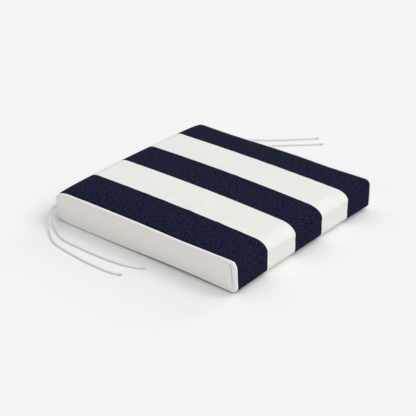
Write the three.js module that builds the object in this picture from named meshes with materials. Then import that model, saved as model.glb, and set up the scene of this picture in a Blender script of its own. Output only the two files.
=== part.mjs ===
// A box-edge chair cushion. One striped panel wraps the filling from back to front, a plain gusset
// closes each side inside a piped seam, and a pair of thin ties is caught in the seam at each back
// corner. Millimetres: X runs across the stripes, -Y is the soft front edge and +Z is up. The cushion
// lies on its back, with the origin at the middle of its underside.
import * as THREE from 'three';

// Driving dimensions
const width = 459; // seam to seam, across the stripes
const depth = 496; // front to back, at the side seams
const height = 74; // underside to top, at the side seams
const crown = 5.5; // lift of the top panel at its middle
const drawIn = 4; // how far the front is pulled in at mid-width
const pipingDiameter = 7.5;
const gussetThickness = 1.5;
const gussetBulge = 3; // how far the filling pushes a gusset's middle out
const tieDiameter = 3.5;
const gap = 0.4; // between neighbouring pieces
const pipingSet = 0.8; // how far the piping stays inside the panel's edge
const tieLift = 0.4; // clearance under a tie that lies flat

// Corner radii of the wrapped section, [along Y, along Z]: at the seam at -X, at the one at +X and
// at mid-width, where the filling is fullest
const corners = {
  backTop: { left: [45, 21], right: [28, 20.5], middle: [16, 14.8] },
  frontTop: { left: [13, 21], right: [11, 10.5], middle: [41, 23] },
  frontBottom: { left: [17, 16], right: [11, 10.5], middle: [24, 17] },
  backBottom: { left: [19, 18], right: [19, 18], middle: [16, 17] },
};

// How the underside lies: it rises towards each seam from a share of the half width on, most at one
// place along the seam, and the seam's lower edge is drawn in, most at the front
const lie = {
  left: { from: 0.72, rise: 3, at: -120, spread: 110, tuck: 5 },
  right: { from: 0, rise: 6, at: -260, spread: 110, tuck: 0.6 },
};
const tuckFrom = 0.72; // share of the half width where the drawing in starts
const tuckPower = 1.6; // the higher, the lower down a gusset the drawing in starts
const cornerSteps = 6;
const runSteps = { top: 12, front: 3, underside: 6, back: 3 };
const sectionCount = 16; // spaces between sections, seam to seam
const swell = 0.6; // power of the swelling from seam to mid-width: the lower, the sooner it is full

// What follows from them
const halfWidth = width / 2;
const pipingRadius = pipingDiameter / 2;
const tieRadius = tieDiameter / 2;
const pipingInset = pipingRadius + pipingSet; // from the section's outline to its centreline
const gussetInset = pipingInset + pipingRadius + gap;
const shoulder = pipingRadius - gussetThickness; // brings a gusset up to the piping's middle
const shoulderRun = 0.4;
const domeRings = [0, 0.25, 0.6]; // shrink of each ring towards the gusset's middle

// One quarter ellipse, from startAngle (in quarter turns) on, counterclockwise seen from +X
function quarter(centre, radii, startAngle) {
  const points = [];
  for (let step = 0; step <= cornerSteps; step += 1) {
    const angle = (startAngle + step / cornerSteps) * Math.PI / 2;
    const y = centre[0] + radii[0] * Math.cos(angle);
    const z = centre[1] + radii[1] * Math.sin(angle);
    points.push(new THREE.Vector2(y, z));
  }
  return points;
}

// The points between the ends of a straight run, lifted in its middle
function between(start, end, steps, lift = 0) {
  const points = [];
  for (let step = 1; step < steps; step += 1) {
    const across = 2 * step / steps - 1;
    const point = start.clone().lerp(end, step / steps);
    point.y += lift * (1 - across * across);
    points.push(point);
  }
  return points;
}

const endOf = (x) => (x > 0 ? 'right' : 'left');

// The wrapped section in the (Y, Z) plane: fullness 0 is that side's seam and 1 is mid-width's
function sectionOutline(x, fullness, inset = 0) {
  const backReach = depth / 2 - inset;
  const frontReach = backReach - drawIn * fullness;
  const top = height - inset;
  const arc = (name, ySign, onTop, startAngle) => {
    const { [endOf(x)]: seam, middle } = corners[name];
    const radii = seam.map((radius, axis) => THREE.MathUtils.lerp(radius, middle[axis], fullness) - inset);
    const y = ySign * ((ySign > 0 ? backReach : frontReach) - radii[0]);
    const z = onTop ? top - radii[1] : inset + radii[1];
    return quarter([y, z], radii, startAngle);
  };
  const backTop = arc('backTop', 1, true, 0);
  const frontTop = arc('frontTop', -1, true, 1);
  const frontBottom = arc('frontBottom', -1, false, 2);
  const backBottom = arc('backBottom', 1, false, 3);
  return [
    ...backTop,
    ...between(backTop.at(-1), frontTop[0], runSteps.top, crown * fullness),
    ...frontTop,
    ...between(frontTop.at(-1), frontBottom[0], runSteps.front),
    ...frontBottom,
    ...between(frontBottom.at(-1), backBottom[0], runSteps.underside),
    ...backBottom,
    ...between(backBottom.at(-1), backTop[0], runSteps.back),
  ];
}

const ringAt = (x, outline) => outline.map((point) => new THREE.Vector3(x, point.x, point.y));

function shrunk(outline, amount) {
  const middle = new THREE.Vector2(0, height / 2);
  return outline.map((point) => point.clone().lerp(middle, amount));
}

// Rings of the domed face under or on a gusset, rim first, with the point at its middle
function dome(side, lift, inset) {
  const rim = sectionOutline(side, 0, inset);
  const xAt = (shrink) => side * (halfWidth + lift + gussetBulge * (1 - (1 - shrink) ** 2));
  return {
    rings: domeRings.map((shrink) => ringAt(xAt(shrink), shrunk(rim, shrink))),
    middle: new THREE.Vector3(xAt(1), 0, height / 2),
  };
}

// 0 up to a share of the half width, 1 at the seam
const towardsSeam = (x, from) => THREE.MathUtils.clamp((Math.abs(x) / halfWidth - from) / (1 - from), 0, 1);

// A point of the sewn pieces where it comes to lie
function settled(point) {
  const { from, rise, at, spread, tuck } = lie[endOf(point.x)];
  const low = Math.max(0, 1 - point.z / height);
  const lift = rise * Math.exp(-(((point.y - at) / spread) ** 2)) * towardsSeam(point.x, from) ** 2 * low;
  const forward = 0.75 - 0.5 * point.y / depth; // 1 at the front, 0.5 at the back
  const drawn = tuck * forward * towardsSeam(point.x, tuckFrom) ** 2 * low ** tuckPower;
  return new THREE.Vector3(point.x - Math.sign(point.x) * drawn, point.y, point.z + lift);
}

function geometryOf(points, triangles) {
  const geometry = new THREE.BufferGeometry().setFromPoints(points.map(settled));
  geometry.setIndex(triangles);
  geometry.computeVertexNormals();
  return geometry;
}

// Quads between two rings of count points that start at the given indices
function strip(triangles, ringStart, nextStart, count) {
  for (let index = 0; index < count; index += 1) {
    const following = (index + 1) % count;
    triangles.push(ringStart + index, ringStart + following, nextStart + following);
    triangles.push(ringStart + index, nextStart + following, nextStart + index);
  }
}

// A skin over rings that run from -X to +X, closed by a point at each end
function closedLoft(firstPoint, rings, lastPoint) {
  const count = rings[0].length;
  const points = [firstPoint, ...rings.flat(), lastPoint];
  const triangles = [];
  const lastRing = 1 + (rings.length - 1) * count;
  for (let ring = 0; ring < rings.length - 1; ring += 1) {
    strip(triangles, 1 + ring * count, 1 + (ring + 1) * count, count);
  }
  for (let index = 0; index < count; index += 1) {
    const following = (index + 1) % count;
    triangles.push(0, 1 + following, 1 + index);
    triangles.push(points.length - 1, lastRing + index, lastRing + following);
  }
  return geometryOf(points, triangles);
}

// The striped panel on its filling: sections lie closest near the seams, where they change fastest
function filledBody() {
  const sections = [];
  for (let index = 0; index <= sectionCount; index += 1) {
    const across = -Math.cos(Math.PI * index / sectionCount);
    const fullness = Math.max(0, 1 - across * across) ** swell;
    sections.push(ringAt(across * halfWidth, sectionOutline(across, fullness)));
  }
  const end = (side) => {
    const seat = ringAt(side * halfWidth, sectionOutline(side, 0, gussetInset));
    const { rings, middle } = dome(side, shoulder - gap, gussetInset + shoulderRun);
    return { rings: [seat, ...rings], middle };
  };
  const left = end(-1);
  const right = end(1);
  const rings = [...left.rings.reverse(), ...sections, ...right.rings];
  return closedLoft(left.middle, rings, right.middle);
}

function gussetPanel(side) {
  const inner = dome(side, shoulder, gussetInset);
  const outer = dome(side, shoulder + gussetThickness, gussetInset);
  const rings = [...inner.rings.reverse(), ...outer.rings];
  if (side > 0) return closedLoft(inner.middle, rings, outer.middle);
  return closedLoft(outer.middle, rings.reverse(), inner.middle);
}

// A round cord all the way along the seam, outside the panel's edge and around the gusset
function pipingLoop(side) {
  const sides = 8;
  const centreline = sectionOutline(side, 0, pipingInset);
  const x = side * (halfWidth + gap + pipingRadius);
  const points = [];
  const triangles = [];
  centreline.forEach((centre, index) => {
    const next = centreline[(index + 1) % centreline.length];
    const previous = centreline.at(index - 1);
    const along = next.clone().sub(previous).normalize();
    for (let corner = 0; corner < sides; corner += 1) {
      const angle = 2 * Math.PI * corner / sides;
      const out = pipingRadius * Math.cos(angle);
      const sideways = -pipingRadius * Math.sin(angle);
      points.push(new THREE.Vector3(x + sideways, centre.x + along.y * out, centre.y - along.x * out));
    }
    strip(triangles, index * sides, ((index + 1) % centreline.length) * sides, sides);
  });
  return geometryOf(points, triangles);
}

// A tie is a thin round cord through hand-placed points, from its seam to its free end
function tieCord(route) {
  const sides = 8;
  const step = 2.5 * tieDiameter;
  const section = new THREE.Shape();
  for (let corner = 0; corner < sides; corner += 1) {
    const angle = 2 * Math.PI * corner / sides;
    const point = [tieRadius * Math.cos(angle), tieRadius * Math.sin(angle)];
    if (corner === 0) section.moveTo(...point);
    else section.lineTo(...point);
  }
  const path = new THREE.CatmullRomCurve3(route.map((point) => new THREE.Vector3(...point)));
  const steps = Math.round(path.getLength() / step);
  return new THREE.ExtrudeGeometry(section, { steps, extrudePath: path, bevelEnabled: false });
}

const cushion = new THREE.Group();

function add(name, geometry, color, roughness) {
  const material = new THREE.MeshStandardMaterial({ color, roughness, metalness: 0 });
  const mesh = new THREE.Mesh(geometry, material);
  mesh.name = name;
  cushion.add(mesh);
}

// Where the ties leave the seam at the back: side by side, one above the other
const tieAside = 2.6; // beyond the edge of the striped panel
const tieBehind = 1; // beyond its back face
const seamX = halfWidth + tieAside;
const seamY = depth / 2 + tieBehind;
const upperZ = 34.3;
const lowerZ = 29.2;
const lieZ = tieRadius + tieLift;

// Routes, [X, Y, Z]: each tie leaves its seam, drops and lies along its side of the cushion
const tieRoutes = {
  tie_left_outer: [
    [-seamX, seamY, upperZ], [-236.1, 252.3, 32.4], [-240.8, 254.9, 29.3],
    [-247.7, 253.4, 24.8], [-255.3, 248.2, 20.3], [-264, 240, 15.3], [-274, 229.5, 10.2],
    [-285, 217.5, 5.8], [-296.5, 203.5, 3], [-306.5, 188.5, lieZ], [-314.5, 169, lieZ],
    [-319.5, 142, lieZ], [-323.5, 111, lieZ], [-326.5, 78, lieZ], [-327.5, 45, lieZ],
    [-326.5, 15, lieZ], [-323.5, -7, lieZ], [-317.5, -23, lieZ],
  ],
  tie_left_inner: [
    [-seamX, seamY, lowerZ], [-236.7, 251.3, 27.2], [-242.1, 251.3, 24], [-247.5, 247.6, 20],
    [-253.5, 239, 15.4], [-260.5, 228.5, 10.6], [-268.5, 217, 6.4], [-277.5, 203, 3.4],
    [-286.5, 186.5, lieZ], [-292, 166, lieZ], [-293.5, 142, lieZ], [-294, 114, lieZ],
    [-294.5, 86, lieZ], [-293.5, 56, lieZ], [-291, 26, lieZ], [-286.5, -1, lieZ],
    [-279.5, -25, lieZ], [-269.5, -42, lieZ],
  ],
  tie_right_outer: [
    [seamX, seamY, upperZ], [237.5, 254.1, 31.3], [244.6, 257.8, 26.3], [254.2, 258.3, 19.3],
    [267.5, 254, 12], [283.5, 245.5, 6.6], [301.5, 232.5, 3.2], [320.5, 215, lieZ],
    [340.5, 195, lieZ], [358.5, 173, lieZ], [376.5, 149, lieZ], [397.5, 125, lieZ],
    [421.5, 100, lieZ], [445.5, 76, lieZ], [471.5, 53, lieZ],
  ],
  tie_right_inner: [
    [seamX, seamY, lowerZ], [238, 252, 26.4], [244.6, 251, 21], [252.9, 245.2, 14.9],
    [263.5, 234.5, 8.8], [277.5, 221.5, 4.8], [292.5, 205.5, 2.6], [307.5, 187.5, lieZ],
    [322.5, 167.5, lieZ], [338.5, 146, lieZ], [357.5, 122, lieZ], [378.5, 99, lieZ],
    [401.5, 74, lieZ], [425.5, 49, lieZ], [449.5, 25, lieZ],
  ],
};

add('cushion_body', filledBody(), 0x23273a, 0.9);
add('gusset_left', gussetPanel(-1), 0xe4e1db, 0.9);
add('gusset_right', gussetPanel(1), 0xe4e1db, 0.9);
add('piping_left', pipingLoop(-1), 0xeceae6, 0.85);
add('piping_right', pipingLoop(1), 0xeceae6, 0.85);
for (const [name, route] of Object.entries(tieRoutes)) add(name, tieCord(route), 0xe8e6e0, 0.85);

export default cushion;
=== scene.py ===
import bpy
import math
import numpy as np
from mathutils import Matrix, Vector, noise


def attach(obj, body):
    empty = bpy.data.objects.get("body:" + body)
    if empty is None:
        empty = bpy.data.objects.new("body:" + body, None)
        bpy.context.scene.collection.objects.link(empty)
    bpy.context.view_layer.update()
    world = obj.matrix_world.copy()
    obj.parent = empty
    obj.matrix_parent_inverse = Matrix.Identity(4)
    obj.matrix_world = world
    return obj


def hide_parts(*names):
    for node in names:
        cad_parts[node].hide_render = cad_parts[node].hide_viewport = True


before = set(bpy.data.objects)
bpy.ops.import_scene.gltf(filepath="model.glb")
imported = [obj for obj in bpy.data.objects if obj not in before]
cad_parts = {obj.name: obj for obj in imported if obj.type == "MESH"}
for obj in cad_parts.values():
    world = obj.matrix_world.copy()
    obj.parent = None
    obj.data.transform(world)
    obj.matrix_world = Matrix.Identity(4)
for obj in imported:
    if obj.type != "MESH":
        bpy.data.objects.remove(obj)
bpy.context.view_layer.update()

print("cushion: frame loaded")

# camera, first of all
view = {"azimuth": -50.38, "elevation": 27.72, "distance": 2.63629, "lens": 106.747, "sensorWidth": 36,
        "clipEnd": 100, "target": (-0.03992, -0.01481, 0.03704)}


def outward(azimuth, elevation):
    # a unit vector away from the cushion: azimuth 0 is straight ahead of its front, 90 is its +X side
    a, e = math.radians(azimuth), math.radians(elevation)
    return Vector((math.sin(a) * math.cos(e), -math.cos(a) * math.cos(e), math.sin(e)))


cameraData = bpy.data.cameras.new("photoCamera")
cameraData.sensor_width = view["sensorWidth"]
cameraData.lens = view["lens"]
cameraData.clip_end = view["clipEnd"]
camera = bpy.data.objects.new("photoCamera", cameraData)
towardsCamera = outward(view["azimuth"], view["elevation"])
camera.location = Vector(view["target"]) + towardsCamera * view["distance"]
camera.rotation_euler = towardsCamera.to_track_quat("Z", "Y").to_euler()
bpy.context.scene.collection.objects.link(camera)
bpy.context.scene.camera = camera


# small mesh helpers
def makeMesh(name, points, faces, cloth=None, smooth=True):
    mesh = bpy.data.meshes.new(name)
    mesh.from_pydata([tuple(p) for p in points], [], [tuple(f) for f in faces])
    mesh.validate()
    if cloth is not None:
        # where each point is on its cut cloth, and as the third value where its colour darkens: painted
        # shade in the gusset's front crease, and the darker bound end of a tie
        held = mesh.attributes.new("cloth", "FLOAT_VECTOR", "POINT")
        held.data.foreach_set("vector", np.asarray(cloth, np.float32).ravel())
    mesh.polygons.foreach_set("use_smooth", [smooth] * len(mesh.polygons))
    mesh.update()
    piece = bpy.data.objects.new(name, mesh)
    bpy.context.scene.collection.objects.link(piece)
    return piece


def tubeFaces(rings, sides, closed=False, flipped=False):
    faces = []
    for i in range(rings if closed else rings - 1):
        a, b = i * sides, (i + 1) % rings * sides
        for j in range(sides):
            k = (j + 1) % sides
            faces.append((a + j, a + k, b + k, b + j))
    return [f[::-1] for f in faces] if flipped else faces


def endFaces(rings, sides, flipped=False):
    # one face over each end of a tube
    first, last = tuple(range(sides)), tuple(range((rings - 1) * sides, rings * sides))
    return [first, last[::-1]] if flipped else [first[::-1], last]


def endStrips(rings, sides):
    # closes both ends of a flipped tube with quads from one side of the end ring to the other
    strips = []
    for first, flipped in ((0, False), ((rings - 1) * sides, True)):
        last = first + sides - 1
        strip = [(first + i, first + i + 1, last - i - 1, last - i) for i in range(sides // 2 - 1)]
        strips += [f[::-1] for f in strip] if flipped else strip
    return strips


def noiseAt(x, y, z):
    return noise.noise(Vector((x, y, z)))


def smoothRoute(points, step):
    # centripetal Catmull-Rom through the points, as in the part's source, then even steps
    p = np.array(points, float)
    p = np.vstack([2 * p[0] - p[1], p, 2 * p[-1] - p[-2]])
    fine = []
    for i in range(1, len(p) - 2):
        t = [0.0]
        for a, b in ((i - 1, i), (i, i + 1), (i + 1, i + 2)):
            t.append(t[-1] + np.linalg.norm(p[b] - p[a]) ** 0.5)
        for s in np.linspace(t[1], t[2], 24, endpoint=False):
            a1 = (t[1] - s) / (t[1] - t[0]) * p[i - 1] + (s - t[0]) / (t[1] - t[0]) * p[i]
            a2 = (t[2] - s) / (t[2] - t[1]) * p[i] + (s - t[1]) / (t[2] - t[1]) * p[i + 1]
            a3 = (t[3] - s) / (t[3] - t[2]) * p[i + 1] + (s - t[2]) / (t[3] - t[2]) * p[i + 2]
            b1 = (t[2] - s) / (t[2] - t[0]) * a1 + (s - t[0]) / (t[2] - t[0]) * a2
            b2 = (t[3] - s) / (t[3] - t[1]) * a2 + (s - t[1]) / (t[3] - t[1]) * a3
            fine.append((t[2] - s) / (t[2] - t[1]) * b1 + (s - t[1]) / (t[2] - t[1]) * b2)
    fine.append(p[-2])
    fine = np.array(fine)
    along = np.concatenate([[0], np.cumsum(np.linalg.norm(np.diff(fine, axis=0), axis=1))])
    at = np.linspace(0, along[-1], int(round(along[-1] / step)) + 1)
    return np.stack([np.interp(at, along, fine[:, k]) for k in range(3)], axis=1), at


def ringFrames(line):
    # directions across a tube that don't twist along it
    ahead = np.gradient(line, axis=0)
    ahead /= np.linalg.norm(ahead, axis=1)[:, None]
    side = np.cross(ahead[0], (0, 0, 1))
    side /= np.linalg.norm(side)
    sides = []
    for a in ahead:
        side = side - a * side.dot(a)
        side /= np.linalg.norm(side)
        sides.append(side)
    sides = np.array(sides)
    return sides, np.cross(ahead, sides)


# ties
tie = {
    "diameter": 0.0035, "strands": 8, "braidPitch": 0.0062, "relief": 0.07, "sides": 20, "step": 0.0007,
    "boundEnd": 0.012, "boundSwell": 1.22, "boundRamp": 1.6,  # the thread-bound length at the free end
    "tip": 0.0019, "root": 0.0006, "lowest": 0.0002,
}

# each tie: the node it stands for, its length, and its route as in the part's source, in metres
tieRoutes = {
    "tieLeftOuter": ("tie_left_outer", 0.328, [
        (-0.2321, 0.249, 0.0343), (-0.2361, 0.2523, 0.0324), (-0.2408, 0.2549, 0.0293),
        (-0.2477, 0.2534, 0.0248), (-0.2553, 0.2482, 0.0203), (-0.264, 0.24, 0.0153),
        (-0.274, 0.2295, 0.0102), (-0.285, 0.2175, 0.0058), (-0.2965, 0.2035, 0.003),
        (-0.3065, 0.1885, 0.00215), (-0.3145, 0.169, 0.00215), (-0.3195, 0.142, 0.00215),
        (-0.3235, 0.111, 0.00215), (-0.3265, 0.078, 0.00215), (-0.3275, 0.045, 0.00215),
        (-0.3265, 0.015, 0.00215), (-0.3235, -0.007, 0.00215), (-0.3175, -0.023, 0.00215)]),
    "tieLeftInner": ("tie_left_inner", 0.329, [
        (-0.2321, 0.249, 0.0292), (-0.2367, 0.2513, 0.0272), (-0.2421, 0.2513, 0.024),
        (-0.2475, 0.2476, 0.02), (-0.2535, 0.239, 0.0154), (-0.2605, 0.2285, 0.0106),
        (-0.2685, 0.217, 0.0064), (-0.2775, 0.203, 0.0034), (-0.2865, 0.1865, 0.00215),
        (-0.292, 0.166, 0.00215), (-0.2935, 0.142, 0.00215), (-0.294, 0.114, 0.00215),
        (-0.2945, 0.086, 0.00215), (-0.2935, 0.056, 0.00215), (-0.291, 0.026, 0.00215),
        (-0.2865, -0.001, 0.00215), (-0.2795, -0.025, 0.00215), (-0.2695, -0.042, 0.00215)]),
    "tieRightOuter": ("tie_right_outer", 0.335, [
        (0.2321, 0.249, 0.0343), (0.2375, 0.2541, 0.0313), (0.2446, 0.2578, 0.0263),
        (0.2542, 0.2583, 0.0193), (0.2675, 0.254, 0.012), (0.2835, 0.2455, 0.0066),
        (0.3015, 0.2325, 0.0032), (0.3205, 0.215, 0.00215), (0.3405, 0.195, 0.00215),
        (0.3585, 0.173, 0.00215), (0.3765, 0.149, 0.00215), (0.3975, 0.125, 0.00215),
        (0.4215, 0.1, 0.00215), (0.4455, 0.076, 0.00215), (0.4715, 0.053, 0.00215)]),
    "tieRightInner": ("tie_right_inner", 0.325, [
        (0.2321, 0.249, 0.0292), (0.238, 0.252, 0.0264), (0.2446, 0.251, 0.021), (0.2529, 0.2452, 0.0149),
        (0.2635, 0.2345, 0.0088), (0.2775, 0.2215, 0.0048), (0.2925, 0.2055, 0.0026),
        (0.3075, 0.1875, 0.00215), (0.3225, 0.1675, 0.00215), (0.3385, 0.146, 0.00215),
        (0.3575, 0.122, 0.00215), (0.3785, 0.099, 0.00215), (0.4015, 0.074, 0.00215),
        (0.4255, 0.049, 0.00215), (0.4495, 0.025, 0.00215)]),
}


def roundedOff(distance, reach, least):
    # 1 along the cord, and down like a dome over its last stretch
    return np.sqrt(np.clip(1 - np.clip(1 - distance / reach, 0, 1) ** 2, least, 1))


def braidedTie(name, route):
    line, along = smoothRoute(route, tie["step"])
    across, up = ringFrames(line)
    around = np.linspace(0, 2 * math.pi, tie["sides"], endpoint=False)
    # two sets of strands wind round the cord, one each way, and cross
    turned = tie["strands"] * around[None, :] / (2 * math.pi)
    wound = 2 * along[:, None] / tie["braidPitch"]
    oneWay, otherWay = [np.abs(np.sin(math.pi * way)) for way in (turned + wound, turned - wound)]
    radius = tie["diameter"] / 2 * (1 - 2 * tie["relief"] * (1 - np.maximum(oneWay, otherWay)))
    toEnd = along[-1] - along
    bound = np.clip(tie["boundRamp"] * (1 - toEnd / tie["boundEnd"]), 0, 1)
    swell = 1 + (tie["boundSwell"] - 1) * bound ** 2 * (3 - 2 * bound)
    ends = roundedOff(toEnd, tie["tip"], 0.003) * roundedOff(along, tie["root"], 0.05)
    radius = radius * (swell * ends)[:, None]
    sideways = np.cos(around)[None, :, None] * across[:, None, :]
    upwards = np.sin(around)[None, :, None] * up[:, None, :]
    points = line[:, None, :] + radius[:, :, None] * (sideways + upwards)
    points[..., 2] = np.maximum(points[..., 2], tie["lowest"])
    girth = around[None, :] * tie["diameter"] / 2
    cloth = np.stack(np.broadcast_arrays(along[:, None], girth, bound[:, None]), -1)
    faces = tubeFaces(len(line), tie["sides"]) + endFaces(len(line), tie["sides"])
    return makeMesh(name, points.reshape(-1, 3), faces, cloth.reshape(-1, 3)), line


tiePieces = []
for name, (node, length, route) in tieRoutes.items():
    piece, line = braidedTie(name, route)
    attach(piece, "root")
    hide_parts(node)
    tiePieces.append(piece)
print("cushion: ties laid")


# the section that all sewn pieces share
cushion = {
    "width": 0.459, "depth": 0.496, "height": 0.074, "crown": 0.0055, "shoulder": 0.0036,
    "drawIn": 0.004, "swell": 0.6,
    # corner radii of the section (along Y, along Z), at the two side seams and at mid-width
    "nearSeam": {"backTop": (0.045, 0.021), "frontTop": (0.013, 0.021),
                 "frontBottom": (0.017, 0.016), "backBottom": (0.024, 0.023)},
    "farSeam": {"backTop": (0.028, 0.0205), "frontTop": (0.011, 0.0105),
                "frontBottom": (0.011, 0.0105), "backBottom": (0.019, 0.018)},
    "middle": {"backTop": (0.030, 0.0180), "frontTop": (0.041, 0.023),
               "frontBottom": (0.024, 0.017), "backBottom": (0.016, 0.017)},
    # the underside leaves the surface towards each seam: (share of the half width where that starts, power,
    # rise, place along the depth, spread), and the seam's lower side draws in: (how far, power)
    "lift": {-1: (0.72, 2.0, 0.004, -0.100, 0.140), 1: (0.0, 2.0, 0.006, -0.260, 0.110)},
    "tuck": {-1: (0.005, 1.6), 1: (-0.0012, 1.2)},
    # rises and dips of the upper seams: (side, place along the depth, spread, height)
    "seamWaves": ((-1, 0.200, 0.035, -0.0013), (-1, 0.035, 0.050, 0.0004), (-1, -0.100, 0.045, -0.0010),
                  (-1, -0.222, 0.030, 0.0008), (1, 0.150, 0.110, -0.0032), (1, -0.140, 0.060, -0.0017)),
    "settleFrom": 0.72, "hairline": 0.0003,  # the least radius, and the gap where the cloth's ends meet
}


def towardsSeam(x, start):
    # 0 up to that share of the half width, 1 at the seam
    return np.clip((np.abs(x) / (cushion["width"] / 2) - start) / (1 - start), 0, 1)


def settled(points):
    # lets the sewn pieces lie as the soft cushion does, with its seams a little out of line
    p = np.array(points, float)
    x, y = p[:, 0].copy(), p[:, 1].copy()
    high = np.clip(p[:, 2] / cushion["height"], 0, 1)
    near = towardsSeam(x, cushion["settleFrom"])
    for side in (-1, 1):
        here = np.sign(x) == side
        start, power, rise, at, spread = cushion["lift"][side]
        lift = rise * np.exp(-((y - at) / spread) ** 2) * towardsSeam(x, start) ** power * (1 - high)
        wave = sum(height * np.exp(-((y - place) / reach) ** 2)
                   for way, place, reach, height in cushion["seamWaves"] if way == side)
        deep, bend = cushion["tuck"][side]
        tuck = deep * (0.75 - 0.5 * y / cushion["depth"]) * near ** 2 * (1 - high) ** bend
        p[:, 2] += here * (lift + wave * near ** 4 * high ** 2)
        p[:, 0] -= here * side * tuck
    return p


def fullnessAt(x):
    # 0 at the side seams and 1 at mid-width
    return max(0.0, 1 - (2 * x / cushion["width"]) ** 2) ** cushion["swell"]


def cornerAt(name, side, fullness, inset):
    seam, middle = cushion["farSeam" if side > 0 else "nearSeam"][name], cushion["middle"][name]
    return [max(cushion["hairline"], s + (m - s) * fullness - inset) for s, m in zip(seam, middle)]


def sectionOutline(side, fullness, inset, steps):
    # a closed outline in Y and Z, from under the back edge up the back, over the top and down the front
    backReach = cushion["depth"] / 2 - inset
    frontReach = backReach - cushion["drawIn"] * fullness
    top, low = cushion["height"] - inset, inset
    shoulder = cushion["shoulder"] * fullness  # the filling stands higher along the back edge
    backTop, frontTop, frontBottom, backBottom = [
        cornerAt(n, side, fullness, inset) for n in ("backTop", "frontTop", "frontBottom", "backBottom")]
    out = []

    def corner(y, z, radii, start, count):
        for a in np.linspace(start, start + math.pi / 2, count, endpoint=False):
            out.append((y + radii[0] * math.cos(a), z + radii[1] * math.sin(a)))

    def run(a, b, count, bow=0.0):
        for t in np.linspace(0, 1, count, endpoint=False):
            s = 2 * t - 1
            out.append((a[0] + (b[0] - a[0]) * t, a[1] + (b[1] - a[1]) * t + bow * (1 - s * s)))

    corner(backReach - backBottom[0], low + backBottom[1], backBottom, 1.5 * math.pi, steps["backBottom"])
    run((backReach, low + backBottom[1]), (backReach, top + shoulder - backTop[1]), steps["back"])
    corner(backReach - backTop[0], top + shoulder - backTop[1], backTop, 0, steps["backTop"])
    run((backReach - backTop[0], top + shoulder), (frontTop[0] - frontReach, top), steps["top"],
        cushion["crown"] * fullness - shoulder / 2)
    corner(frontTop[0] - frontReach, top - frontTop[1], frontTop, math.pi / 2, steps["frontTop"])
    run((-frontReach, top - frontTop[1]), (-frontReach, low + frontBottom[1]), steps["front"])
    corner(frontBottom[0] - frontReach, low + frontBottom[1], frontBottom, math.pi, steps["frontBottom"])
    run((frontBottom[0] - frontReach, low), (backReach - backBottom[0], low), steps["underside"])
    out.append((out[0][0] - cushion["hairline"], low))  # the cloth's two ends meet where it lies
    return np.array(out)


def arcLengths(outline):
    closed = np.vstack([outline, outline[:1]])
    return np.concatenate([[0], np.cumsum(np.linalg.norm(np.diff(closed, axis=0), axis=1))])


# striped wrap panel on its filling
panel = {
    "steps": {"backTop": 7, "top": 78, "frontTop": 11, "front": 8, "frontBottom": 7, "underside": 76,
              "backBottom": 6, "back": 8},
    "stripes": (-0.13216, -0.03852, 0.05527, 0.14913),  # where navy and white change across the width
    # rings from a seam inwards: behind the piping, round the rolled edge, then wider and wider apart
    "behind": (0.0068, 0.0048, 0.0034), "edgeRoll": 0.0024, "rollRings": 6,
    "firstRings": (0.0016, 0.0036, 0.0062, 0.0095, 0.0135, 0.0182), "evenFrom": 0.0236, "evenRings": 37,
}


def panelRings():
    # (x, inset) of each ring from the left seam to the right one
    half, roll = cushion["width"] / 2, panel["edgeRoll"]
    rings = [(-half, inset) for inset in panel["behind"]]
    for a in np.linspace(0, math.pi / 2, panel["rollRings"]):
        rings.append((-half + roll * (1 - math.cos(a)), roll * (1 - math.sin(a))))
    start = half - roll
    rings += [(-start + d, 0.0) for d in panel["firstRings"]]
    rings += [(x, 0.0) for x in np.linspace(panel["evenFrom"] - start, 0, panel["evenRings"])]
    return rings + [(-x, inset) for x, inset in rings[-2::-1]]


def wrapPanel(rings):
    rows, cloth = [], []
    along = arcLengths(sectionOutline(1, 1.0, 0.0, panel["steps"]))[:-1]  # as cut, from mid-width
    sides = len(along)
    for x, inset in rings:
        outline = sectionOutline(x, fullnessAt(x), inset, panel["steps"])
        across = np.full(sides, x - math.copysign(inset, x))
        rows.append(np.column_stack([np.full(sides, x), outline]))
        cloth.append(np.column_stack([across, along, np.zeros(sides)]))
    faces = tubeFaces(len(rings), sides, flipped=True) + endStrips(len(rings), sides)
    return makeMesh("stripedPanel", settled(np.vstack(rows)), faces, np.vstack(cloth))


filling = {
    "pressure": 4.0, "growth": 0.014, "frames": 20, "quality": 5, "mass": 0.25, "stretch": 12, "shear": 5,
    "bending": 0.4, "heldBand": 0.008, "every": 2,  # the net takes every second ring and column
    "keep": 0.0004, "calm": 3, "cornerBend": 0.05,  # most height kept, blur of what isn't, where it fades
}


def blurred(grid, reach):
    # mean over neighbours, round the section (which closes on itself) and from seam to seam
    total = sum(np.roll(grid, k, axis=1) for k in range(-reach, reach + 1)) / (2 * reach + 1)
    padded = np.pad(total, ((reach, reach), (0, 0)), mode="edge")
    return sum(padded[k:k + grid.shape[0]] for k in range(2 * reach + 1)) / (2 * reach + 1)


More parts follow.
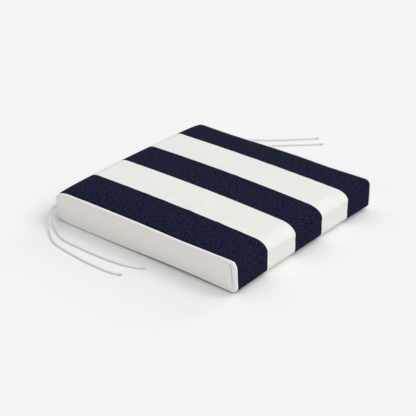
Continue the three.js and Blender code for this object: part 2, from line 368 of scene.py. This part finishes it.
def clothSwelling(points):
    # a coarser net of the panel, held at its seams while the filling pushes it out from inside
    rings, sides = points.shape[:2]
    flat = points.reshape(-1, 3)
    faces = tubeFaces(rings, sides, flipped=True) + endFaces(rings, sides, flipped=True)
    net = makeMesh("fillingNet", flat, faces)
    held = net.vertex_groups.new(name="seams")
    near = np.nonzero(np.abs(flat[:, 0]) > cushion["width"] / 2 - filling["heldBand"])[0]
    held.add([int(i) for i in near], 1.0, "REPLACE")
    cloth = net.modifiers.new("filling", "CLOTH")
    cloth.settings.quality = filling["quality"]
    cloth.settings.mass = filling["mass"]
    cloth.settings.tension_stiffness = filling["stretch"]
    cloth.settings.compression_stiffness = filling["stretch"]
    cloth.settings.shear_stiffness = filling["shear"]
    cloth.settings.bending_stiffness = filling["bending"]
    cloth.settings.use_pressure = True
    cloth.settings.uniform_pressure_force = filling["pressure"]
    cloth.settings.shrink_min = -filling["growth"]
    cloth.settings.effector_weights.gravity = 0
    cloth.settings.vertex_group_mass = "seams"
    cloth.collision_settings.use_collision = False
    cloth.point_cache.frame_start = 1
    cloth.point_cache.frame_end = filling["frames"]
    for frameNumber in range(1, filling["frames"] + 1):
        bpy.context.scene.frame_set(frameNumber)
    shaken = net.evaluated_get(bpy.context.evaluated_depsgraph_get())
    after = np.array([v.co[:] for v in shaken.data.vertices])
    normals = np.array([v.normal[:] for v in net.data.vertices])
    out = np.einsum("ij,ij->i", after - flat, normals).reshape(rings, sides)
    bpy.data.objects.remove(net)
    bpy.context.scene.frame_set(1)
    return out


def flatness(outline):
    # 1 on the flat runs of the section and near 0 in its corners
    ahead = np.roll(outline, -1, axis=0) - outline
    ahead /= np.linalg.norm(ahead, axis=1)[:, None]
    bend = np.arccos(np.clip(np.einsum("ij,ij->i", ahead, np.roll(ahead, 1, axis=0)), -1, 1))
    return 1 / (1 + (bend / filling["cornerBend"]) ** 2)


def puffed(piece, rings, sides):
    # the swelling leaves the cut cloth softly uneven: what is kept is its short waves, on the flat runs
    before = np.array([v.co[:] for v in piece.data.vertices]).reshape(rings, sides, 3)
    normals = np.array([v.normal[:] for v in piece.data.vertices]).reshape(rings, sides, 3)
    some = sorted({*range(0, rings, filling["every"]), rings - 1})
    few = list(range(0, sides, filling["every"]))
    out = clothSwelling(before[np.ix_(some, few)])
    fine = out - blurred(blurred(out, filling["calm"]), filling["calm"])
    fine -= fine.mean(axis=0)[None, :]
    # back from the coarse net to every ring and column
    wide = np.array([np.interp(range(rings), some, fine[:, k]) for k in range(len(few))]).T
    closed = np.column_stack([wide, wide[:, :1]])
    fine = np.array([np.interp(range(sides), few + [sides], closed[i]) for i in range(rings)])
    flat = blurred(np.tile(flatness(before[rings // 2]), (rings, 1)), 2)
    fine = filling["keep"] * np.tanh(blurred(fine, 1) / filling["keep"]) * flat
    moved = before + normals * fine[:, :, None]
    moved[:, :, 2] = np.maximum(moved[:, :, 2], 0.0)
    print("cushion: cloth swelled %.1f mm" % (np.abs(out).max() * 1000))
    print("cushion: kept %.2f mm of waves" % (np.abs(fine).max() * 1000))
    piece.data.vertices.foreach_set("co", moved.astype(np.float32).ravel())
    piece.data.update()


def subdivided(piece):
    modifier = piece.modifiers.new("finer", "SUBSURF")
    modifier.levels = 1
    graph = bpy.context.evaluated_depsgraph_get()
    finer = bpy.data.meshes.new_from_object(piece.evaluated_get(graph), preserve_all_data_layers=True,
                                            depsgraph=graph)
    piece.modifiers.clear()
    piece.data = finer


bodyRings = panelRings()
body = wrapPanel(bodyRings)
puffed(body, len(bodyRings), sum(panel["steps"].values()) + 1)
subdivided(body)
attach(body, "root")
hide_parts("cushion_body")
print("cushion: striped panel on its filling")


# side gussets
gusset = {
    "columns": 190, "rows": 34, "inset": 0.0066, "thickness": 0.0011, "place": 0.2369,
    "bulge": 0.0023, "domePower": 2.6,
    "domeFrom": {"top": 0.028, "front": 0.011, "low": 0.028, "back": 0.028},  # how soon the dome is full
    # a crease runs beside the piping, deepest up the front edge, where the filling bulges before it
    "crease": {"top": 0.0002, "front": 0.0036, "low": 0.0003, "back": 0.0001}, "creaseFrom": 0.0036,
    "creaseLean": 0.0024, "creaseWidth": 0.0021, "puff": 0.0010, "puffFrom": 0.0085, "puffWidth": 0.0130,
    "rim": 0.0007, "rimWidth": 0.0009,
    "uneven": 0.0006, "calmEdge": 0.012, "drawnWidth": 0.020,  # slow unevenness, and pulls at the end seams
    "endSpacing": 0.9,  # towards 1 the columns crowd more at the front and the back
}


def gussetEnds(side, z, inset):
    # how far the rounded gusset reaches to the front and to the back at height z
    reach = cushion["depth"] / 2 - inset
    top, low = cushion["height"] - inset, inset
    ends = []
    for upper, lower, way in (("frontTop", "frontBottom", -1), ("backTop", "backBottom", 1)):
        above, below = cornerAt(upper, side, 0, inset), cornerAt(lower, side, 0, inset)
        along, share = above[0], 0.0
        if z > top - above[1]:
            share = (z - (top - above[1])) / above[1]
        elif z < low + below[1]:
            along, share = below[0], ((low + below[1]) - z) / below[1]
        ends.append(way * (reach - along + along * math.sqrt(max(0.0, 1 - share * share))))
    return ends


def hump(distance, middle, width):
    return math.exp(-((distance - middle) / width) ** 2)


def gussetFace(y, z, front, back, way):
    # how far out the cloth lies, and how deep in the front crease it is, which the gusset's finish also
    # turns into painted shade
    top, low = cushion["height"] - gusset["inset"], gusset["inset"]
    gaps = {"top": top - z, "low": z - low, "front": y - front, "back": back - y}
    fromEdge = min(gaps.values())
    full = min(1 - (1 - min(1.0, gaps[k] / gusset["domeFrom"][k])) ** gusset["domePower"] for k in gaps)
    rim = gusset["rim"] * math.exp(-fromEdge / gusset["rimWidth"])
    high = (z - low) / (top - low)
    pulled = 0.25 + 0.75 * min(1.0, max(0.0, (high - 0.10) / 0.30))  # the crease fades low down
    creaseAt = gusset["creaseFrom"] + gusset["creaseLean"] * high
    pinch = {k: hump(gaps[k], creaseAt, gusset["creaseWidth"]) for k in gaps}
    pinch["front"] *= pulled
    crease = max(gusset["crease"][k] * pinch[k] for k in gaps)
    crease *= 0.8 + 0.4 * noiseAt(y * 22, z * 22, way * 5.0)
    puff = gusset["puff"] * pulled * hump(gaps["front"], gusset["puffFrom"], gusset["puffWidth"])
    slow = noiseAt(y * 11, z * 24, 3.1 * way) + 0.8 * noiseAt(y * 31, z * 40, 7.7 * way)
    drawn = noiseAt(y * 95 + z * 30, z * 12, 1.7 * way)
    drawn *= math.exp(-min(gaps["front"], gaps["back"]) / gusset["drawnWidth"])
    uneven = gusset["uneven"] * min(1.0, fromEdge / gusset["calmEdge"]) * (slow + 0.7 * drawn)
    # the front crease weight returned here is also where the finish paints shade into the crease
    return gusset["place"] + gusset["bulge"] * full + puff - rim - crease + uneven, pinch["front"]


def sideGusset(name, way):
    inset, top, low = gusset["inset"], cushion["height"] - gusset["inset"], gusset["inset"]
    width, height = gusset["columns"] + 1, gusset["rows"] + 1
    heights = low + (top - low) * (1 - np.cos(np.linspace(0, math.pi, height))) / 2
    spread = gusset["endSpacing"] * math.pi / 2
    places = np.sin(np.linspace(-1, 1, width) * spread) / math.sin(spread)
    outer, inner, cloth = [], [], []
    for z in heights:
        front, back = gussetEnds(way, z, inset)
        for share in places:
            y = (front + back) / 2 + share * (back - front) / 2
            x, pinch = gussetFace(y, z, front, back, way)
            outer.append((way * x, y, z))
            inner.append((way * (x - gusset["thickness"]), y, z))
            # the front crease weight goes to the cloth as its third value, where the finish paints shade
            cloth.append((y, z, pinch))
    count = width * height
    faces = []
    for r in range(height - 1):
        for c in range(width - 1):
            quad = (r * width + c, r * width + c + 1, (r + 1) * width + c + 1, (r + 1) * width + c)
            faces += [quad, tuple(i + count for i in quad)[::-1]]
    rim = list(range(width))
    rim += [r * width + width - 1 for r in range(1, height)]
    rim += [(height - 1) * width + c for c in range(width - 2, -1, -1)]
    rim += [r * width for r in range(height - 2, 0, -1)]
    faces += [(a, a + count, b + count, b) for a, b in zip(rim, rim[1:] + rim[:1])]
    if way < 0:
        faces = [f[::-1] for f in faces]
    return makeMesh(name, settled(outer + inner), faces, cloth + cloth)


gussetPieces = []
for name, node, way in (("gussetLeft", "gusset_left", -1), ("gussetRight", "gusset_right", 1)):
    piece = sideGusset(name, way)
    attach(piece, "root")
    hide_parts(node)
    gussetPieces.append(piece)
print("cushion: gussets")


# piping
piping = {
    "diameter": 0.0075, "inset": 0.00455, "place": 0.23365, "sides": 20, "lumps": 0.02, "lumpsPerMetre": 60,
    "steps": {"backTop": 12, "top": 128, "frontTop": 10, "front": 12, "frontBottom": 12,
              "underside": 128, "backBottom": 12, "back": 12},
}


def pipingLoop(name, way, seed):
    outline = sectionOutline(way, 0.0, piping["inset"], piping["steps"])
    ahead = np.roll(outline, -1, axis=0) - np.roll(outline, 1, axis=0)
    ahead /= np.linalg.norm(ahead, axis=1)[:, None]
    away = np.column_stack([ahead[:, 1], -ahead[:, 0]])
    along = arcLengths(outline)[:-1]
    around = np.linspace(0, 2 * math.pi, piping["sides"], endpoint=False)
    points, cloth = [], []
    for (y, z), (awayY, awayZ), s in zip(outline, away, along):
        for a in around:
            lump = noiseAt(s * piping["lumpsPerMetre"] + seed, math.cos(a) * 0.6, math.sin(a) * 0.6)
            radius = piping["diameter"] / 2 * (1 + piping["lumps"] * lump)
            sideways, out = radius * math.cos(a), radius * math.sin(a)
            points.append((way * (piping["place"] + sideways), y + awayY * out, z + awayZ * out))
            cloth.append((s, a * piping["diameter"] / 2, 0.0))
    faces = tubeFaces(len(outline), piping["sides"], closed=True, flipped=way < 0)
    return makeMesh(name, settled(points), faces, cloth)


pipingPieces = []
for name, node, way, seed in (("pipingLeft", "piping_left", -1, 3.0),
                              ("pipingRight", "piping_right", 1, 8.0)):
    piece = pipingLoop(name, way, seed)
    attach(piece, "root")
    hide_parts(node)
    pipingPieces.append(piece)
print("cushion: piping")


# finishes
def setSocket(tree, socket, value):
    # another node's output is linked, and a plain value is set on the socket itself
    if hasattr(value, "is_output"):
        tree.links.new(value, socket)
    else:
        socket.default_value = value


def shaderNode(tree, kind, place, **inputs):
    made = tree.nodes.new(kind)
    made.location = place
    for key, value in inputs.items():
        setSocket(tree, made.inputs[key.replace("_", " ")], value)
    return made


def groupNode(tree, group, place, **inputs):
    made = tree.nodes.new("ShaderNodeGroup")
    made.node_tree = group
    made.location = place
    for key, value in inputs.items():
        setSocket(tree, made.inputs[key.replace("_", " ")], value)
    return made.outputs


def mathNode(tree, operation, place, a, b=None, clamp=False):
    made = tree.nodes.new("ShaderNodeMath")
    made.operation = operation
    made.location = place
    made.use_clamp = clamp
    setSocket(tree, made.inputs[0], a)
    if b is not None:
        setSocket(tree, made.inputs[1], b)
    return made.outputs[0]


def mixValue(tree, place, factor, a, b):
    return shaderNode(tree, "ShaderNodeMix", place, Factor=factor, A=a, B=b).outputs["Result"]


def mixColour(tree, place, factor, a, b):
    made = tree.nodes.new("ShaderNodeMix")
    made.data_type = "RGBA"
    made.location = place
    for index, value in ((0, factor), (6, a), (7, b)):  # the colour sockets of the mix node
        setSocket(tree, made.inputs[index], value)
    return made.outputs[2]


def stretched(tree, place, value, given=(0.0, 1.0), wanted=(0.0, 1.0)):
    made = shaderNode(tree, "ShaderNodeMapRange", place, Value=value)
    for label, number in zip(("From Min", "From Max", "To Min", "To Max"), (*given, *wanted)):
        made.inputs[label].default_value = number
    return made.outputs[0]


def noiseNode(tree, place, where, **inputs):
    return shaderNode(tree, "ShaderNodeTexNoise", place, Vector=where, **inputs).outputs[0]


def makeGroup(name, inputs, outputs):
    tree = bpy.data.node_groups.new(name, "ShaderNodeTree")
    for label, kind, value in inputs:
        made = tree.interface.new_socket(name=label, in_out="INPUT", socket_type=kind)
        if value is not None:
            made.default_value = value
    for label in outputs:
        tree.interface.new_socket(name=label, in_out="OUTPUT", socket_type="NodeSocketFloat")
    start = tree.nodes.new("NodeGroupInput")
    start.location = (-1400, 0)
    end = tree.nodes.new("NodeGroupOutput")
    end.location = (900, 0)
    return tree, start.outputs, end.inputs


weaving = {"round": 0.7, "run": 0.35, "gapPower": 2.0, "slubsPerMetre": 190.0, "warpScale": 1.37,
           "weftScale": 1.61, "cloudsPerMetre": 330.0}


def plainWeaveGroup():
    # plain-woven canvas: one yarn over, one under, each yarn a little different from the next
    tree, given, out = makeGroup("plainWeave", [
        ("Cloth", "NodeSocketVector", None), ("Yarns per metre", "NodeSocketFloat", 1250.0),
        ("Slub", "NodeSocketFloat", 0.5)], ["Height", "Yarn tone", "Gap"])
    parts = shaderNode(tree, "ShaderNodeSeparateXYZ", (-1200, 0), Vector=given["Cloth"]).outputs
    counts, humps = [], []
    for label, y in (("X", 100), ("Y", -100)):
        yarns = mathNode(tree, "MULTIPLY", (-1000, y), parts[label], given["Yarns per metre"])
        counts.append(mathNode(tree, "FLOOR", (-820, y + 60), yarns))
        within = mathNode(tree, "FRACT", (-820, y - 60), yarns)
        halfTurn = mathNode(tree, "MULTIPLY", (-660, y), within, math.pi)
        humps.append(mathNode(tree, "SINE", (-500, y), halfTurn))
    column, row = counts
    sumOf = mathNode(tree, "ADD", (-660, 260), column, row)
    over = mathNode(tree, "PINGPONG", (-500, 260), sumOf, 1.0)  # 1 where the yarn along Y lies on top
    yarnHeights = []
    for y, (across, along) in ((0, humps), (-240, humps[::-1])):
        rounded = mathNode(tree, "POWER", (-340, y + 60), across, weaving["round"])
        dipping = mathNode(tree, "POWER", (-340, y - 60), along, weaving["run"])
        yarnHeights.append(mathNode(tree, "MULTIPLY", (-180, y), rounded, dipping))
    warp, weft = yarnHeights
    height = mixValue(tree, (20, 0), over, weft, warp)
    tree.links.new(height, out["Height"])
    # Gap is where the yarns dip; the finishes paint shade there
    gap = mathNode(tree, "SUBTRACT", (200, -140), 1.0, height, clamp=True)
    tree.links.new(mathNode(tree, "POWER", (380, -140), gap, weaving["gapPower"]), out["Gap"])
    # slubs: each yarn has its own thick and pale stretches
    tones = []
    for y, yarn, label, other, scale in ((560, column, "Y", "X", weaving["warpScale"]),
                                         (400, row, "X", "Y", weaving["weftScale"])):
        stretch = mathNode(tree, "MULTIPLY", (-820, y), parts[label], weaving["slubsPerMetre"])
        where = shaderNode(tree, "ShaderNodeCombineXYZ", (-660, y), **{other: yarn, label: stretch})
        tones.append(noiseNode(tree, (-480, y), where.outputs[0], Scale=scale, Detail=1.0))
    warpTone, weftTone = tones
    tone = mixValue(tree, (-280, 480), over, weftTone, warpTone)
    cloud = noiseNode(tree, (-480, 760), given["Cloth"], Scale=weaving["cloudsPerMetre"], Detail=2.0)
    tree.links.new(mixValue(tree, (-80, 560), given["Slub"], tone, cloud), out["Yarn tone"])
    return tree


heather = {"fleckShape": 0.35, "roughness": 0.65, "fleckRange": (0.94, 1.08), "shadeRange": (0.3, 0.7)}


def heatherGroup():
    # fibres of mixed tone: short flecks along both yarn directions, and slow light and dark over the cloth
    tree, given, out = makeGroup("heather", [
        ("Cloth", "NodeSocketVector", None), ("Flecks per metre", "NodeSocketFloat", 300.0),
        ("Patches per metre", "NodeSocketFloat", 18.0)], ["Fleck", "Shade"])
    ways = []
    for y, scale in ((200, (1.0, heather["fleckShape"], 1.0)), (-100, (heather["fleckShape"], 1.0, 1.0))):
        way = shaderNode(tree, "ShaderNodeMapping", (-1100, y), Vector=given["Cloth"], Scale=scale)
        ways.append(noiseNode(tree, (-860, y), way.outputs[0], Scale=given["Flecks per metre"], Detail=2.0,
                              Roughness=heather["roughness"]))
    both = mathNode(tree, "ADD", (-640, 60), *ways)
    tree.links.new(stretched(tree, (-440, 60), both, heather["fleckRange"]), out["Fleck"])
    patches = noiseNode(tree, (-860, -400), given["Cloth"], Scale=given["Patches per metre"], Detail=3.0)
    tree.links.new(stretched(tree, (-640, -400), patches, heather["shadeRange"]), out["Shade"])
    return tree


plainWeave = plainWeaveGroup()
heatherFibres = heatherGroup()


def clothMaterial(name):
    material = bpy.data.materials.new(name)
    material.use_nodes = True
    tree = material.node_tree
    shader = tree.nodes["Principled BSDF"]
    shader.location = (900, 0)
    held = tree.nodes.new("ShaderNodeAttribute")
    held.attribute_name = "cloth"
    held.location = (-1200, 0)
    return material, tree, shader, held.outputs["Vector"]


def surfaced(tree, shader, finish, fleck, relief):
    # dry yarn: a little sheen, roughness that changes from fleck to fleck, and the relief of the weave
    rough = stretched(tree, (0, -160), fleck, wanted=finish["roughness"])
    tree.links.new(rough, shader.inputs["Roughness"])
    shader.inputs["Specular IOR Level"].default_value = finish["specular"]
    shader.inputs["Sheen Weight"].default_value = finish["sheen"]
    shader.inputs["Sheen Roughness"].default_value = finish["sheenRoughness"]
    bump = shaderNode(tree, "ShaderNodeBump", (640, -300), Strength=finish["bump"],
                      Distance=finish["bumpHeight"], Height=relief)
    tree.links.new(bump.outputs[0], shader.inputs["Normal"])


stripedFinish = {
    "navyDark": (0.0008, 0.0024, 0.0180, 1), "navyLight": (0.0190, 0.0212, 0.0420, 1),
    "white": (0.795, 0.805, 0.764, 1), "whiteShade": (0.725, 0.734, 0.697, 1),
    "yarns": 1250.0, "slub": 0.5, "flecks": 370.0, "patches": 18.0, "edgeWander": 0.0002,
    "yarnRange": (0.3, 0.72), "yarnShare": 0.25, "fleckRelief": 0.6,
    "roughness": (0.84, 0.94), "specular": 0.03, "sheen": 0.008, "sheenRoughness": 0.45,
    "bump": 0.35, "bumpHeight": 0.00025,
}


def stripedCanvas():
    finish = stripedFinish
    material, tree, shader, cloth = clothMaterial("stripedCanvas")
    weave = groupNode(tree, plainWeave, (-900, 0), Cloth=cloth, Yarns_per_metre=finish["yarns"],
                      Slub=finish["slub"])
    fibres = groupNode(tree, heatherFibres, (-900, -260), Cloth=cloth, Flecks_per_metre=finish["flecks"],
                       Patches_per_metre=finish["patches"])
    parts = shaderNode(tree, "ShaderNodeSeparateXYZ", (-1100, 300), Vector=cloth)
    # a stripe's edge steps from yarn to yarn, so it wanders a little
    centred = mathNode(tree, "SUBTRACT", (-1100, 460), fibres["Fleck"], 0.5)
    wander = mathNode(tree, "MULTIPLY", (-940, 460), centred, finish["edgeWander"])
    x = mathNode(tree, "ADD", (-800, 400), parts.outputs["X"], wander)
    # dark outside and in the middle: each stripe edge passed turns the colour over
    passed = [mathNode(tree, "GREATER_THAN", (-640, 460 - 120 * i), x, edge)
              for i, edge in enumerate(panel["stripes"])]
    nearWhite = mathNode(tree, "SUBTRACT", (-460, 400), passed[0], passed[1])
    farWhite = mathNode(tree, "SUBTRACT", (-460, 200), passed[2], passed[3])
    pale = mathNode(tree, "ADD", (-300, 340), nearWhite, farWhite)
    yarn = stretched(tree, (-600, -60), weave["Yarn tone"], finish["yarnRange"])
    tone = mixValue(tree, (-440, -60), finish["yarnShare"], fibres["Fleck"], yarn)
    navy = mixColour(tree, (-240, 100), tone, finish["navyDark"], finish["navyLight"])
    mottled = mathNode(tree, "ADD", (-600, -260), fibres["Fleck"], fibres["Shade"])
    # the white darkens with painted shade in the gaps between yarns, mixed with random flecks and patches
    gapShadeAndMottleSum = mathNode(tree, "ADD", (-440, -300), mottled, weave["Gap"])
    gapShadeAndMottle = mathNode(tree, "MULTIPLY", (-280, -300), gapShadeAndMottleSum, 1 / 3)  # the mean of the three
    white = mixColour(tree, (-100, -160), gapShadeAndMottle, finish["white"], finish["whiteShade"])
    tree.links.new(mixColour(tree, (0, 100), pale, navy, white), shader.inputs["Base Color"])
    fibreRelief = mathNode(tree, "MULTIPLY", (280, -360), fibres["Fleck"], finish["fleckRelief"])
    relief = mathNode(tree, "ADD", (440, -300), weave["Height"], fibreRelief)
    surfaced(tree, shader, finish, fibres["Fleck"], relief)
    return material


plainLook = {
    "yarns": 1250.0, "slub": 0.4, "turned": 45.0, "flecks": 420.0, "patches": 60.0,
    "roughness": (0.86, 0.95), "specular": 0.2, "sheen": 0.05, "sheenRoughness": 0.5,
    "bump": 0.3, "bumpHeight": 0.00025,
}
# the darker colour below is for where the cloth's third value is 1: painted shade in the gusset's front
# crease, and a tie's darker bound end
plainFinishes = {
    # the gusset's darkest colour is painted shade in its front crease
    "gussetCanvas": {**plainLook, "colour": (0.826, 0.800, 0.774, 1), "shade": (0.790, 0.765, 0.740, 1),
                     "creaseShadeAndTieEnd": (0.64, 0.62, 0.595, 1), "turned": 0.0, "patches": 22.0},
    "pipingCloth": {**plainLook, "colour": (0.835, 0.825, 0.805, 1), "shade": (0.775, 0.765, 0.745, 1)},
    "tieBraid": {**plainLook, "colour": (0.790, 0.783, 0.765, 1), "shade": (0.735, 0.728, 0.712, 1),
                 "creaseShadeAndTieEnd": (0.64, 0.63, 0.61, 1), "yarns": 1900.0},
}


def plainCanvas(name):
    finish = plainFinishes[name]
    material, tree, shader, cloth = clothMaterial(name)
    thread = cloth
    if finish["turned"]:
        turn = shaderNode(tree, "ShaderNodeVectorRotate", (-1060, 0), Vector=cloth,
                          Angle=math.radians(finish["turned"]))
        turn.rotation_type = "Z_AXIS"
        thread = turn.outputs[0]
    weave = groupNode(tree, plainWeave, (-900, 0), Cloth=thread, Yarns_per_metre=finish["yarns"],
                      Slub=finish["slub"])
    fibres = groupNode(tree, heatherFibres, (-900, -260), Cloth=thread, Flecks_per_metre=finish["flecks"],
                       Patches_per_metre=finish["patches"])
    # the colour darkens with painted shade in the gaps between yarns, mixed with random patches
    gapShadeAndMottleSum = mathNode(tree, "ADD", (-660, -100), weave["Gap"], fibres["Shade"])
    gapShadeAndMottle = mathNode(tree, "MULTIPLY", (-500, -100), gapShadeAndMottleSum, 0.5)  # the mean of the two
    base = mixColour(tree, (-300, 0), gapShadeAndMottle, finish["colour"], finish["shade"])
    # darker where the cloth's third value is 1: painted shade in the gusset's crease, and a tie's darker
    # bound end
    if "creaseShadeAndTieEnd" in finish:
        parts = shaderNode(tree, "ShaderNodeSeparateXYZ", (-900, 260), Vector=cloth)
        base = mixColour(tree, (0, 60), parts.outputs["Z"], base, finish["creaseShadeAndTieEnd"])
    tree.links.new(base, shader.inputs["Base Color"])
    surfaced(tree, shader, finish, fibres["Fleck"], weave["Height"])
    return material


for pieces, finish in (([body], stripedCanvas()), (gussetPieces, plainCanvas("gussetCanvas")),
                       (pipingPieces, plainCanvas("pipingCloth")), (tiePieces, plainCanvas("tieBraid"))):
    for piece in pieces:
        piece.data.materials.append(finish)
print("cushion: finishes")


# floor and light
studio = {
    "floorReach": 30, "floorDrop": 0.0004, "floorAlbedo": 0.85, "dome": 0.508,
    # soft suns around the cushion: (name, azimuth from the camera's towards its right, elevation, energy)
    "suns": (("rightKey", 90, 45, 0.838), ("frontKey", 45, 45, 0.650), ("leftFill", 315, 22, 0.364),
             ("backFill", 135, 22, 0.610), ("overhead", 135, 68, 0.395)),
    "sunAngle": 30, "sunDistance": 3,
}

corners = [(x * studio["floorReach"], y * studio["floorReach"], -studio["floorDrop"])
           for x, y in ((-1, -1), (1, -1), (1, 1), (-1, 1))]
floor = makeMesh("studioFloor", corners, [(0, 1, 2, 3)], smooth=False)
floorFinish = bpy.data.materials.new("paleFloor")
floorFinish.use_nodes = True
floorShader = floorFinish.node_tree.nodes["Principled BSDF"]
floorShader.inputs["Base Color"].default_value = (studio["floorAlbedo"],) * 3 + (1,)
floorShader.inputs["Roughness"].default_value = 1.0
floorShader.inputs["Specular IOR Level"].default_value = 0.0
floor.data.materials.append(floorFinish)

world = bpy.data.worlds.new("studioDome")
world.use_nodes = True
world.node_tree.nodes["Background"].inputs["Color"].default_value = (1, 1, 1, 1)
world.node_tree.nodes["Background"].inputs["Strength"].default_value = studio["dome"]
bpy.context.scene.world = world

for name, azimuth, elevation, energy in studio["suns"]:
    lamp = bpy.data.lights.new(name, "SUN")
    lamp.energy = energy
    lamp.angle = math.radians(studio["sunAngle"])
    sun = bpy.data.objects.new(name, lamp)
    towardsSun = outward(view["azimuth"] + azimuth, elevation)
    sun.rotation_euler = towardsSun.to_track_quat("Z", "Y").to_euler()
    sun.location = towardsSun * studio["sunDistance"]
    bpy.context.scene.collection.objects.link(sun)
bpy.context.scene.view_settings.view_transform = "Standard"
bpy.context.scene.view_settings.look = "None"
print("cushion: floor and light")
